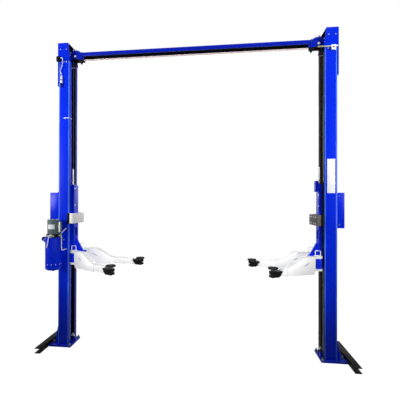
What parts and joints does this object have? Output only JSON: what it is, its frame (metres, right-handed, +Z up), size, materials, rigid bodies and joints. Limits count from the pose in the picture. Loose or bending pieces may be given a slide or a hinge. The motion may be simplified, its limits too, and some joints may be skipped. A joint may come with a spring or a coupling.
{
  "type": "two post car lift",
  "caption": "Overhead two post car lift with blue columns, a crossbeam, raised carriages, swinging white arms with screw pads, and a hydraulic power unit.",
  "frame": {"origin": "floor level under the middle of the left column, on the left base plate's underside", "axes": "+X from the left post to the right post, +Y away from the power unit's side, +Z up"},
  "size_m": [3.5486, 0.8631, 3.66],
  "materials": {
    "blue_paint": "gloss",
    "white_paint": "gloss",
    "black_paint": "satin",
    "grey_paint": "satin",
    "zinc": "satin",
    "rubber": "matte",
    "pale_rubber": "matte",
    "grey_rubber": "matte",
    "red_foam": "matte"
  },
  "bodies": {
    "frame": {"base_left": "blue_paint", "stabilizer_leg_left": "black_paint", "column_left": "blue_paint", "head_left": "blue_paint", "beam_bracket_left": "blue_paint", "sheaves_left": "zinc", "cylinder_left": "black_paint", "lock_cover_left": "blue_paint", "equalizer_cable_left": "zinc", "base_right": "blue_paint", "stabilizer_leg_right": "black_paint", "column_right": "blue_paint", "head_right": "blue_paint", "beam_bracket_right": "blue_paint", "sheaves_right": "zinc", "cylinder_right": "black_paint", "lock_cover_right": "blue_paint", "equalizer_cable_right": "zinc", "crossbeam": "blue_paint", "shutoff_bar": "red_foam", "limit_switch": "zinc", "lead_box": "black_paint", "switch_lead": "white_paint", "power_mount": "blue_paint", "valve_block": "black_paint", "oil_tank": "blue_paint", "filler_cap": "black_paint", "motor": "grey_paint", "release_lever": "zinc", "pressure_pipe": "white_paint"},
    "carriage_body_left": {"carriage_left": "blue_paint", "door_guard_left": "pale_rubber", "cable_stud_left": "zinc", "lift_cable_left": "zinc", "arm_pin_left_front": "white_paint", "arm_pin_left_rear": "white_paint"},
    "carriage_body_right": {"carriage_right": "blue_paint", "door_guard_right": "grey_rubber", "cable_stud_right": "zinc", "lift_cable_right": "zinc", "arm_pin_right_front": "white_paint", "arm_pin_right_rear": "white_paint"},
    "arm_body_left_front": {"arm_left_front": "white_paint"},
    "extension_body_left_front": {"arm_extension_left_front": "white_paint", "arm_tip_left_front": "black_paint"},
    "pad_body_left_front": {"pad_left_front": "rubber"},
    "arm_body_left_rear": {"arm_left_rear": "white_paint"},
    "extension_body_left_rear": {"arm_extension_left_rear": "white_paint", "arm_tip_left_rear": "black_paint"},
    "pad_body_left_rear": {"pad_left_rear": "rubber"},
    "arm_body_right_front": {"arm_right_front": "white_paint"},
    "extension_body_right_front": {"arm_extension_right_front": "white_paint", "arm_tip_right_front": "black_paint"},
    "pad_body_right_front": {"pad_right_front": "rubber"},
    "arm_body_right_rear": {"arm_right_rear": "white_paint"},
    "extension_body_right_rear": {"arm_extension_right_rear": "white_paint", "arm_tip_right_rear": "black_paint"},
    "pad_body_right_rear": {"pad_right_rear": "rubber"}
  },
  "joints": [
    {"name": "lift_left", "type": "slide", "parent": "frame", "child": "carriage_body_left", "axis": [0, 0, 1], "range_m": [-0.86, 0.9], "deforming": ["lift_cable_left"]},
    {"name": "lift_right", "type": "slide", "parent": "frame", "child": "carriage_body_right", "axis": [0, 0, 1], "range_m": [-0.86, 0.9], "deforming": ["lift_cable_right"]},
    {"name": "swing_left_front", "type": "hinge", "parent": "carriage_body_left", "child": "arm_body_left_front", "pos_m": [0.14, -0.13, 1.06], "axis": [0, 0, -1], "range_deg": [-31, 64]},
    {"name": "extend_left_front", "type": "slide", "parent": "arm_body_left_front", "child": "extension_body_left_front", "axis": [0.8572, -0.515, 0], "range_m": [-0.162, 0.088]},
    {"name": "screw_left_front", "type": "slide", "parent": "extension_body_left_front", "child": "pad_body_left_front", "axis": [0, 0, 1], "range_m": [0, 0.04]},
    {"name": "swing_left_rear", "type": "hinge", "parent": "carriage_body_left", "child": "arm_body_left_rear", "pos_m": [0.14, 0.13, 1.06], "axis": [0, 0, 1], "range_deg": [-0.3, 94.7]},
    {"name": "extend_left_rear", "type": "slide", "parent": "arm_body_left_rear", "child": "extension_body_left_rear", "axis": [1, 0.0052, 0], "range_m": [-0.236, 0.014]},
    {"name": "screw_left_rear", "type": "slide", "parent": "extension_body_left_rear", "child": "pad_body_left_rear", "axis": [0, 0, 1], "range_m": [0, 0.04]},
    {"name": "swing_right_front", "type": "hinge", "parent": "carriage_body_right", "child": "arm_body_right_front", "pos_m": [2.933, -0.13, 1.06], "axis": [0, 0, 1], "range_deg": [-24.8, 70.2]},
    {"name": "extend_right_front", "type": "slide", "parent": "arm_body_right_front", "child": "extension_body_right_front", "axis": [-0.9078, -0.4195, 0], "range_m": [-0.055, 0.195]},
    {"name": "screw_right_front", "type": "slide", "parent": "extension_body_right_front", "child": "pad_body_right_front", "axis": [0, 0, 1], "range_m": [0, 0.04]},
    {"name": "swing_right_rear", "type": "hinge", "parent": "carriage_body_right", "child": "arm_body_right_rear", "pos_m": [2.933, 0.13, 1.06], "axis": [0, 0, -1], "range_deg": [-5.8, 89.2]},
    {"name": "extend_right_rear", "type": "slide", "parent": "arm_body_right_rear", "child": "extension_body_right_rear", "axis": [-0.9949, 0.1011, 0], "range_m": [-0.169, 0.081]},
    {"name": "screw_right_rear", "type": "slide", "parent": "extension_body_right_rear", "child": "pad_body_right_rear", "axis": [0, 0, 1], "range_m": [0, 0.04]}
  ],
  "couplings": [
    {"joint": "lift_right", "follows": "lift_left", "ratio": 1}
  ]
}
